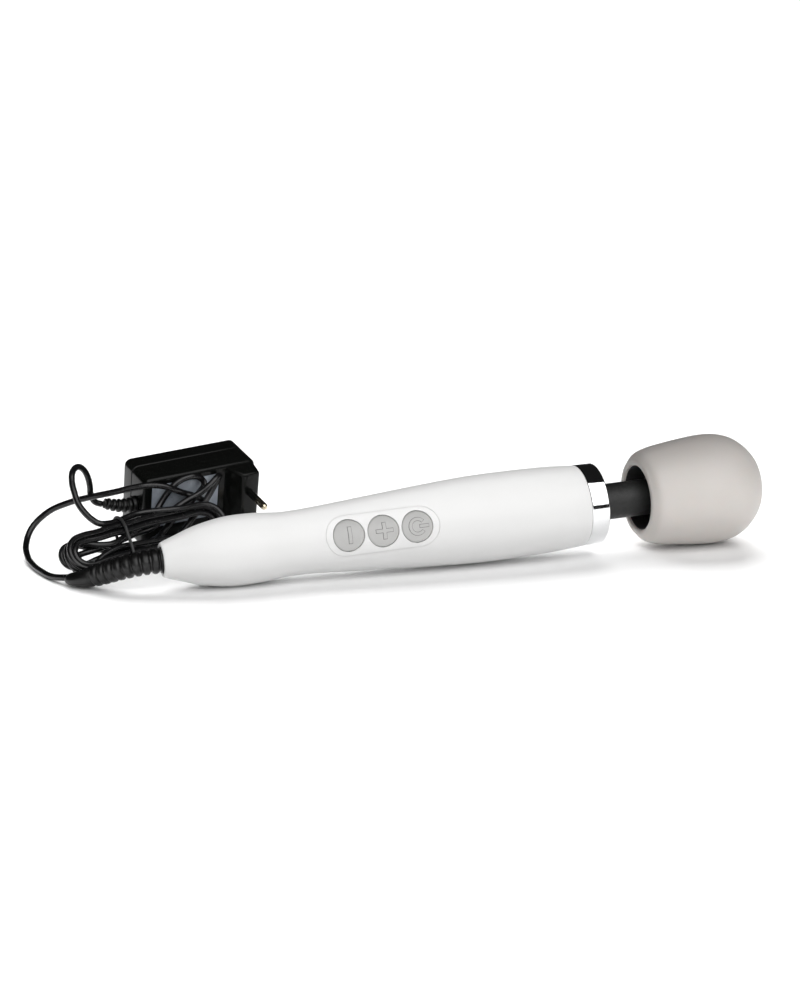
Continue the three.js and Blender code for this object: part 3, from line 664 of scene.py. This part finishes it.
def adapter_relief():
    route = [on_adapter(*p) for p in (
        (-0.3, -11, 24), (-5, -11.2, 24.1), (-11, -12.2, 24.8), (-17.4, -14.1, 26.5),
    )]
    outline = [(0, 4.6), (1.4, 4.6), (1.8, 4.3)] + ribs(2, 3.0, 5, 4.5, 3.1, 18, 0.95)
    outline += [(17.0, 2.9), (17.8, 2.6), (18.2, 2.0)]
    data = mesh_of("adapter_relief", *swept(route, outline, 36))
    return add_object(
        "adapter_relief", data, "black_rubber", "handle", ("adapter_strain_relief",), SLEEVE,
    )


TIE_RADIUS = 0.85


def bundle_tie():
    """A thin wire once round the bundle."""
    ring = [
        (-11.6, 4.2, 12.6), (-11.9, 1.0, 14.7), (-11.6, -3.6, 12.4), (-11.2, -6.2, 7.4),
        (-11.4, -6.8, 0), (-11.8, -6.4, -8.0), (-12.2, -4.6, -13.2), (-12.6, 0.6, -14.6),
        (-12.8, 4.8, -12.6), (-12.6, 6.6, -7.0), (-12.2, 6.8, 0), (-11.8, 6.7, 7.4),
    ]
    data = smooth_curve("bundle_tie", [on_hank(*p) for p in ring], TIE_RADIUS, closed=True)
    return add_object("bundle_tie", data, "black_cord", "handle", ("cord_tie",), TIE)


wand_sleeve = wand_relief()
adapter_sleeve = adapter_relief()
tie = bundle_tie()


# ---------------------------------------------------------------- wand

HANDLE_LENGTH = 232.3
HANDLE_WALL = 2.2
TAIL_HOLE = 7.1
SEAT_START = 218
SEAT_RADIUS = 20.3
SEAM_HALF = 0.06
HANDLE_SKIN = [tuple(p) for p in spline([
    (0, 8.3), (0.9, 9.3), (8, 11.8), (20, 15.7), (35, 18.3), (50, 18.4), (65, 17.2), (80, 17.5),
    (100, 18.9), (120, 20.4), (145, 22.2), (170, 23.6), (195, 23.8), (215, 23.4), (231, 22.4),
    (232.3, 21.9),
], 8)]
KEYS = {"minus": 96.4, "plus": 114.9, "power": 133.3}
KEY_RADIUS = 8.3
KEY_GAP = 0.28
KEY_SIDES = 72
BAR_STEPS = 10
ARC_STEPS = 44
PANEL_ENDS = (94.9, 134.8)
PANEL_HALF = 10.7
PANEL_DEPTH = 0.9
PANEL_GAP = 0.09
SCREW_STATIONS = (46, 157)


def handle_radius(station):
    return float(np.interp(station, *zip(*HANDLE_SKIN)))


def shell_outline():
    inner = [(s, r - HANDLE_WALL) for s, r in HANDLE_SKIN if 4.2 < s < SEAT_START - 1]
    return (
        [(0.25, TAIL_HOLE), (0, TAIL_HOLE + 0.25)] + HANDLE_SKIN
        + [(HANDLE_LENGTH + 0.05, 21.6), (HANDLE_LENGTH, SEAT_RADIUS), (SEAT_START, SEAT_RADIUS)]
        + inner[::-1] + [(3.2, TAIL_HOLE)]
    )


def half_shell(facing):
    """One half of the handle's shell. facing is 0 for the keys' side and 180 for the back."""
    seam = math.degrees(SEAM_HALF / 18)
    vertices, faces = lathe(shell_outline(), on_wand, 88, facing - 90 + seam, facing + 90 - seam)
    return mesh_of("shell", vertices, faces)


def stadium(grow):
    """Outline (station, z) of the key panel."""
    radius = PANEL_HALF + grow
    made = []
    for centre, turn in ((PANEL_ENDS[1], -90), (PANEL_ENDS[0], 90)):
        for k in range(33):
            a = math.radians(turn + 180 * k / 32)
            made.append((centre + radius * math.cos(a), radius * math.sin(a)))
    return made


def prism(outline, near, far):
    return lofted([[on_wand(s, y, z) for s, z in outline] for y in (near, far)])


def panel_body(thickness, lift=0.0):
    """The slab of the handle's skin that the panel is cut from."""
    skin = [(s, r + lift) for s, r in HANDLE_SKIN if 78 < s < 152]
    inner = [(s, r - thickness) for s, r in skin[::-1]]
    return lathe(skin + inner, on_wand, 64, -55, 55)


def key_holes():
    radius = KEY_RADIUS + KEY_GAP
    return joined(*[
        rod(on_wand, s, 0, -5, -40, radius, KEY_SIDES) for s in KEYS.values()
    ])


def make_shells():
    front = cut(half_shell(0), key_holes())
    slab = mesh_of("slab", *panel_body(PANEL_DEPTH + 0.2, 0.6))
    recess = cut(slab, prism(stadium(PANEL_GAP), -4, -40), "INTERSECT")
    front = cut(front, as_lists(recess))
    add_object("handle_front", front, "white_shell", "handle", ("handle_front_shell",))

    back = half_shell(180)
    for station in SCREW_STATIONS:
        surface = handle_radius(station)
        back = cut(back, rod(on_wand, station, 0, 0.3, surface - 0.8, 4.2), "UNION")
        back = cut(back, rod(on_wand, station, 0, 8.2, surface + 5, 3.25))
        back = cut(back, rod(on_wand, station, 0, -1, 9, 1.7))
    add_object("handle_back", back, "white_shell", "handle", ("handle_back_shell",))


def make_panel():
    slab = mesh_of("panel", *panel_body(PANEL_DEPTH))
    data = cut(slab, prism(stadium(-PANEL_GAP), -4, -40), "INTERSECT")
    data = cut(data, key_holes())
    add_object("key_panel", data, "white_shell", "handle", ("button_panel",))


def key_surface(centre, x, z, lift=0.0):
    """A point of a key's face: the handle's curve, crowned and rounded off at its edge."""
    ratio = min(1.0, math.hypot(x, z) / KEY_RADIUS)
    crown = 0.42 * (1 - ratio**2) - 0.3 * max(0.0, (ratio - 0.9) / 0.1) ** 2
    depth = math.sqrt(max(handle_radius(centre + x) ** 2 - z * z, 1))
    return on_wand(centre + x, -(depth + crown + lift), z)


def key_cap(centre):
    rings = []
    for share in (0.25, 0.5, 0.72, 0.86, 0.92, 0.96, 0.985, 1.0):
        ring = circle(0, 0, share * KEY_RADIUS, KEY_SIDES)
        rings.append([key_surface(centre, x, z) for x, z in ring])
    skirt = [on_wand(s, -12, z) for s, z in circle(centre, 0, KEY_RADIUS, KEY_SIDES)]
    return lofted([*rings, skirt])


def inlay(centre, strips, top):
    """Strips that stand above a key's face. Each is a list of (x, z) pairs, its two edges."""
    parts = []
    for strip in strips:
        rows = [
            [key_surface(centre, *a, lift) for a in pair for lift in (top, -0.25)]
            for pair in strip
        ]
        rings = [[row[0], row[1], row[3], row[2]] for row in rows]
        parts.append(lofted(rings))
    return joined(*parts)


def bar(x0, z0, x1, z1, half, grow):
    """A straight strip between two points of a key's face, longer and wider by grow."""
    size = math.hypot(x1 - x0, z1 - z0)
    dx, dz = (x1 - x0) / size, (z1 - z0) / size
    x0, z0, size, half = x0 - dx * grow, z0 - dz * grow, size + 2 * grow, half + grow
    made = []
    for k in range(BAR_STEPS + 1):
        x, z = x0 + dx * size * k / BAR_STEPS, z0 + dz * size * k / BAR_STEPS
        made.append(((x - dz * half, z + dx * half), (x + dz * half, z - dx * half)))
    return made


def arc(radius, start, end, half, grow):
    spare = math.degrees(grow / radius)
    start, end, half = start - spare, end + spare, half + grow
    made = []
    for k in range(ARC_STEPS + 1):
        a = math.radians(start + (end - start) * k / ARC_STEPS)
        made.append(tuple(
            (r * math.cos(a), r * math.sin(a)) for r in (radius + half, radius - half)
        ))
    return made


# The raised marks, and the darker strip round the foot of each: painted shade along the marks'
# edges.
ICON_RISE = 0.34
SHADE_LINE_RISE = 0.05
SHADE_LINE_WIDTH = 0.26


def icon(name, grow):
    """The strips of a key's raised mark: a bar, a cross, or a broken ring with a bar."""
    if name == "minus":
        return [bar(0.5, -4.3, 0.5, 4.3, 0.85, grow)]
    if name == "plus":
        return [bar(0.5, -4.3, 0.5, 4.3, 0.85, grow), bar(-4.0, 0, 5.0, 0, 0.85, grow)]
    return [arc(3.9, 42, 318, 0.75, grow), bar(1.2, 0, 5.9, 0, 0.75, grow)]


def make_keys():
    for name, station in KEYS.items():
        body = f"{name}_key"
        cap = mesh_of(f"key_{name}", *key_cap(station), sharp=60)
        add_object(f"key_{name}", cap, "button_grey", body, (f"button_{name}",))
        mark = mesh_of(f"icon_{name}", *inlay(station, icon(name, 0), ICON_RISE))
        add_object(f"icon_{name}", mark, "button_grey", body)
        # The wider dark strip under each mark is painted shade round its edges.
        line = mesh_of(f"icon_line_{name}", *inlay(station, icon(name, SHADE_LINE_WIDTH), SHADE_LINE_RISE))
        add_object(f"icon_line_{name}", line, "button_grey", body, material=ICON_SHADE)


CORNER_STEPS = 5


def rounded(outline, radius):
    """A closed outline with each corner that has a radius rounded. radius is per point."""
    made = []
    count = len(outline)
    for i in range(count):
        here = np.array(outline[i], float)
        before, after = np.array(outline[i - 1], float), np.array(outline[(i + 1) % count], float)
        size = min(radius[i], np.linalg.norm(before - here) / 2, np.linalg.norm(after - here) / 2)
        if size < 1e-6:
            made.append(tuple(here))
            continue
        a = here + (before - here) / np.linalg.norm(before - here) * size
        b = here + (after - here) / np.linalg.norm(after - here) * size
        for k in range(CORNER_STEPS + 1):
            t = k / CORNER_STEPS
            made.append(tuple((1 - t) ** 2 * a + 2 * t * (1 - t) * here + t**2 * b))
    return made


def make_ring():
    outline = rounded(
        [(224.4, 18.6), (224.4, 19.9), (232.7, 19.9), (232.7, 22.35), (243, 22.35), (243, 18.6)],
        [0, 0.3, 0, 0.8, 0.8, 0.4],
    )
    data = mesh_of("ring", *lathe(outline, on_wand, 128))
    add_object("ring", data, "chrome", "handle", ("chrome_ring",))
    dish = rounded(
        [(239, 18.3), (242.1, 18.3), (241.7, 15.6), (241.7, 11.4), (243.2, 11.2), (243.2, 10.35),
         (239, 10.35)],
        [0, 0.5, 0.6, 0.5, 0.4, 0.3, 0],
    )
    data = mesh_of("collar", *lathe(dish, on_wand, 96))
    add_object("collar", data, "black_rubber", "handle", ("neck_collar",))


NECK_JOIN = 258.5
NECK_RADIUS = 10
NECK_INNER = 7.3


def neck_half(name, outline, replaced=()):
    data = mesh_of(name, *lathe(outline, on_wand, 72))
    made = bpy.data.objects.new(name, data)
    bpy.context.scene.collection.objects.link(made)
    data.materials.append(FINISHES["black_rubber"])
    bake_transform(made)
    if replaced:
        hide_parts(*replaced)


def make_neck():
    join = [(NECK_JOIN, NECK_RADIUS), (NECK_JOIN, NECK_INNER)]
    rear = [(236, NECK_INNER), (236, 13.3), (238.5, 13.3), (238.7, NECK_RADIUS)]
    rear += [(238.7 + k, NECK_RADIUS) for k in range(1, 20)] + join
    neck_half("neck_rear", rear, ("neck_sleeve",))
    front = join[::-1] + [(NECK_JOIN + k, NECK_RADIUS) for k in range(1, 25)]
    front += [(283, NECK_RADIUS), (283.2, 13.2), (285.4, 13.2), (285.4, NECK_INNER)]
    neck_half("neck_front", front)


HEAD_START = 268.3
HEAD_LENGTH = 72
CUP_DEPTH = 13.3


def make_head():
    skin = [tuple(p) for p in spline([(HEAD_START + f * HEAD_LENGTH, r) for f, r in (
        (0.015, 22.0), (0.06, 25.2), (0.15, 27.2), (0.3, 28.8), (0.45, 30.0), (0.58, 30.6),
        (0.7, 30), (0.8, 27.7), (0.88, 23.8), (0.945, 18.8), (0.985, 13), (1, 8.4),
    )], 8)]
    end = HEAD_START + HEAD_LENGTH
    floor = HEAD_START + CUP_DEPTH
    inner = [(s, r - 3) for s, r in skin if floor + 0.4 < s < end - 3.4 and r > 13]
    lip = [
        (floor, inner[0][1]), (floor, 17.95), (HEAD_START + 2.0, 17.95), (HEAD_START + 1.2, 18.0),
        (HEAD_START + 0.5, 18.4), (HEAD_START + 0.1, 19.1), (HEAD_START, 19.8),
        (HEAD_START + 0.15, 20.7), (HEAD_START + 0.5, 21.5),
    ]
    nose = [(end, 6), (end + 0.02, 3), (end + 0.02, 0), (end - 3, 0)]
    data = mesh_of("head_skin", *lathe(lip + skin + nose + inner[::-1], on_wand, 128), sharp=50)
    add_object("head_skin", data, "head_skin", "head", ("head_cover",))
    # A thin black sheet over the cup's inner wall, from the lip to the cup's floor: painted shade
    # for the dark recess.
    liner = [
        (HEAD_START + 1.5, 17.93), (HEAD_START + 1.45, 17.6), (HEAD_START + 1.9, 17.4),
        (floor - 1.6, 17.3), (floor - 0.9, 17.0), (floor - 0.6, 16.2), (floor - 0.6, 13.4),
        (floor, 13.4), (floor, 17.93),
    ]
    data = mesh_of("cup_liner", *lathe(liner, on_wand, 96))
    add_object("cup_liner", data, "black_rubber", "head")


make_shells()
make_panel()
make_keys()
make_ring()
make_neck()
make_head()


# ---------------------------------------------------------------- adapter

CASE_LENGTH = 68.5
CASE_DEPTH = 27.5
CASE_HEIGHT = 44.3
CASE_SEAM = 16.5
CASE_CORNER = 4.0
CASE_EDGE = 2.2
SEAM_DEPTH = 0.75
PIN_X = 60.2
PIN_HEIGHTS = {"lower": 11, "upper": 30}
LABEL_LOW = (4.5, 13)
LABEL_HIGH = (46, 40)
LABEL_CORNER = 1.2


def on_adapter_y(x, y, z):
    return on_adapter(x, -y, z)


def rectangle(x0, z0, x1, z1, radius, steps=6):
    made = []
    for cx, cz, turn in (
        (x1 - radius, z0 + radius, -90), (x1 - radius, z1 - radius, 0),
        (x0 + radius, z1 - radius, 90), (x0 + radius, z0 + radius, 180),
    ):
        for k in range(steps + 1):
            a = math.radians(turn + 90 * k / steps)
            made.append((cx + radius * math.cos(a), cz + radius * math.sin(a)))
    return made


def case_ring(depth, inset):
    outline = rectangle(
        inset, inset, CASE_LENGTH - inset, CASE_HEIGHT - inset, max(CASE_CORNER - inset, 0.8)
    )
    return [on_adapter(x, -depth, z) for x, z in outline]


def case_half(levels):
    """A case half from rings of (depth, inset)."""
    return lofted([case_ring(d, i) for d, i in levels])


def edge_levels(face, inward):
    """The rounded edge round a face, from the face in."""
    made = []
    for k in range(6):
        a = math.radians(90 * k / 5)
        made.append((
            face + inward * CASE_EDGE * (1 - math.cos(a)), CASE_EDGE * (1 - math.sin(a)),
        ))
    return made


def boss():
    """The plug boss, a lofted box with rounded corners that narrows towards its pin face."""
    levels = [  # off the face, x from and to, z from and to, corner radius
        (-1, 49.0, 67.2, 3.0, 43.0, 2.0), (0.5, 49.6, 67.2, 3.2, 42.9, 2.0),
        (4.5, 52.3, 66.8, 4.0, 42.5, 1.8), (8.8, 54.9, 66.2, 4.8, 42.1, 1.6),
        (9.6, 55.5, 65.8, 5.3, 41.7, 1.4), (10, 56.3, 65.1, 6.1, 40.9, 1.0),
    ]
    rings = []
    for off, x0, x1, z0, z1, radius in levels:
        rings.append([on_adapter(x, off, z) for x, z in rectangle(x0, z0, x1, z1, radius, 4)])
    return lofted(rings)


def make_case():
    front_levels = edge_levels(0, 1) + [(CASE_SEAM - 0.5, 0), (CASE_SEAM - 0.1, 0.45)]
    data = cut(mesh_of("case", *case_half(front_levels)), boss(), "UNION")
    for z in PIN_HEIGHTS.values():
        data = cut(data, rod(on_adapter_y, PIN_X, z, -11, -4, 2.15, 32))
    data = cut(data, lofted([label_ring(off, 0) for off in (-0.45, 2)]))
    add_object("case_front", data, "black_gloss", "handle", ("adapter_front_case",))

    back_levels = [(CASE_SEAM + 0.1, 0.45), (CASE_SEAM + 0.5, 0.0)]
    back_levels += edge_levels(CASE_DEPTH, -1)[::-1]
    data = mesh_of("case_back", *case_half(back_levels))
    add_object("case_back", data, "black_gloss", "handle", ("adapter_back_case",))
    core = lofted([case_ring(d, SEAM_DEPTH) for d in (CASE_SEAM - 0.6, CASE_SEAM + 0.6)])
    add_object("case_seam", mesh_of("case_seam", *core), "black_gloss", "handle")


def label_ring(off, inset):
    (x0, z0), (x1, z1) = LABEL_LOW, LABEL_HIGH
    corners = rectangle(
        x0 + inset, z0 + inset, x1 - inset, z1 - inset, LABEL_CORNER - inset, 4
    )
    return [on_adapter(x, off, z) for x, z in corners]


def make_label():
    levels = ((-0.44, 0.25), (-0.18, 0.25), (-0.14, 0.32))
    data = mesh_of("label", *lofted([label_ring(*level) for level in levels]))
    add_object("label", data, "rating_label", "handle", ("rating_label",))


def make_pins():
    for place, z in PIN_HEIGHTS.items():
        def out(s, y, w, z=z):
            return on_adapter(PIN_X + y, s, z + w)

        sleeve = rounded(
            [(5.5, 1.2), (5.5, 1.98), (20, 1.98), (20, 1.2)], [0, 0, 0.35, 0.2]
        )
        data = mesh_of(f"sleeve_{place}", *lathe(sleeve, out, 40))
        add_object(
            f"sleeve_{place}", data, "black_gloss", "handle", (f"pin_sleeve_{place}",)
        )
        metal = [
            (-2.5, 0), (-2.5, 1.1), (20.2, 1.1), (20.2, 1.9), (20.4, 2.0), (26.6, 2.0),
            (27.6, 1.85), (28.4, 1.4), (28.85, 0.8), (29, 0),
        ]
        data = mesh_of(f"pin_{place}", *lathe(metal, out, 40))
        add_object(f"pin_{place}", data, "pin_metal", "handle", (f"plug_pin_{place}",))


make_case()
make_label()
make_pins()


# ---------------------------------------------------------------- what the CAD still shows

KEPT = {
    "circuit_board": ("control_board", "adapter_board"),
    "inner_plastic": (
        "minus_switch", "plus_switch", "power_switch", "motor_end_cap", "neck_clamp_plate",
        "head_core_front", "head_core_back",
    ),
    "copper": ("motor_armature", "adapter_transformer"),
    "black_rubber": ("motor_mount_rear", "motor_mount_front", "tail_gland"),
    "black_gloss": ("adapter_capacitor",),
    "steel": (
        "motor_can", "motor_shaft", "rear_coupling", "drive_spring", "bearing_rear",
        "bearing_front", "eccentric_shaft", "eccentric_weight", "front_coupling",
        "shell_screw_rear", "shell_screw_front",
    ),
}
for slot_name, names in KEPT.items():
    for name in names:
        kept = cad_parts[name]
        kept.data.materials.clear()
        kept.data.materials.append(FINISHES[slot_name])


# ---------------------------------------------------------------- studio

# The room's brightness from in front, from behind and from above, then the lights' powers.
ROOM_FRONT = 0.04
ROOM_BACK = 0.8
ROOM_HIGH = 0.2
KEY_POWER = 32
TABLE_POWER = 4.9
FILL_POWER = 1.6
FLOOR_HALF = 40.0
LIGHT_TARGET = (-0.04, 0.02, 0.03)


def backdrop():
    """A wide pale floor."""
    ends = (-FLOOR_HALF, FLOOR_HALF)
    data = bpy.data.meshes.new("floor")
    data.from_pydata([(x, y, 0) for y in ends for x in ends], [], [(0, 1, 3, 2)])
    made = bpy.data.objects.new("floor", data)
    bpy.context.scene.collection.objects.link(made)
    data.materials.append(finish(
        "floor_white", (0.9, 0.9, 0.9), 0.7, tint=0.004, patches=2, vary=0.03, grain=60,
        bump=0.01, Specular_IOR_Level=0.2,
    ))
    return made


def aim(made, azimuth, elevation, distance):
    """Place a light at an azimuth and elevation from its target, facing it. 0 is in front."""
    a, e = math.radians(azimuth), math.radians(elevation)
    back = Vector((math.sin(a) * math.cos(e), -math.cos(a) * math.cos(e), math.sin(e)))
    made.location = Vector(LIGHT_TARGET) + back * distance
    made.rotation_euler = (-back).to_track_quat("-Z", "Y").to_euler()


def add_light(name, kind, azimuth, elevation, distance, energy, **settings):
    light = bpy.data.lights.new(name, kind)
    light.energy = energy
    for key, value in settings.items():
        setattr(light, key, value)
    made = bpy.data.objects.new(name, light)
    bpy.context.scene.collection.objects.link(made)
    aim(made, azimuth, elevation, distance)
    return made


def studio(floor):
    """A large softbox in front, in a dim room. A sun from behind lights only the floor, and one
    from above only the white handle."""
    world = bpy.data.worlds.new("studio")
    world.use_nodes = True
    tree = world.node_tree
    background = tree.nodes["Background"]
    where = node(tree, "ShaderNodeTexCoord")
    split = node(tree, "ShaderNodeSeparateXYZ")
    tree.links.new(where.outputs["Generated"], split.inputs["Vector"])
    low = spread(tree, split.outputs["Y"], ROOM_FRONT, ROOM_BACK, -0.5, 0.1)
    rise = node(tree, "ShaderNodeMapRange", **{
        "From Min": 0.0, "From Max": 0.35, "To Max": ROOM_HIGH,
    })
    tree.links.new(split.outputs["Z"], rise.inputs["Value"])
    tree.links.new(low, rise.inputs["To Min"])
    tree.links.new(rise.outputs["Result"], background.inputs["Strength"])
    bpy.context.scene.world = world
    bpy.context.scene.view_settings.view_transform = "Standard"
    add_light(
        "softbox", "AREA", 2, 42, 1.6, KEY_POWER, shape="RECTANGLE", size=2.2, size_y=1.95,
    )
    table = add_light("table_light", "SUN", 178, 41, 3, TABLE_POWER, angle=math.radians(70))
    lit = bpy.data.collections.new("table")
    lit.objects.link(floor)
    table.light_linking.receiver_collection = lit
    fill = add_light("handle_fill", "SUN", 180, 78, 3, FILL_POWER, angle=math.radians(60))
    white = bpy.data.collections.new("handle_shell")
    for name in ("handle_front", "handle_back", "key_panel"):
        white.objects.link(bpy.data.objects[name])
    fill.light_linking.receiver_collection = white


studio(backdrop())
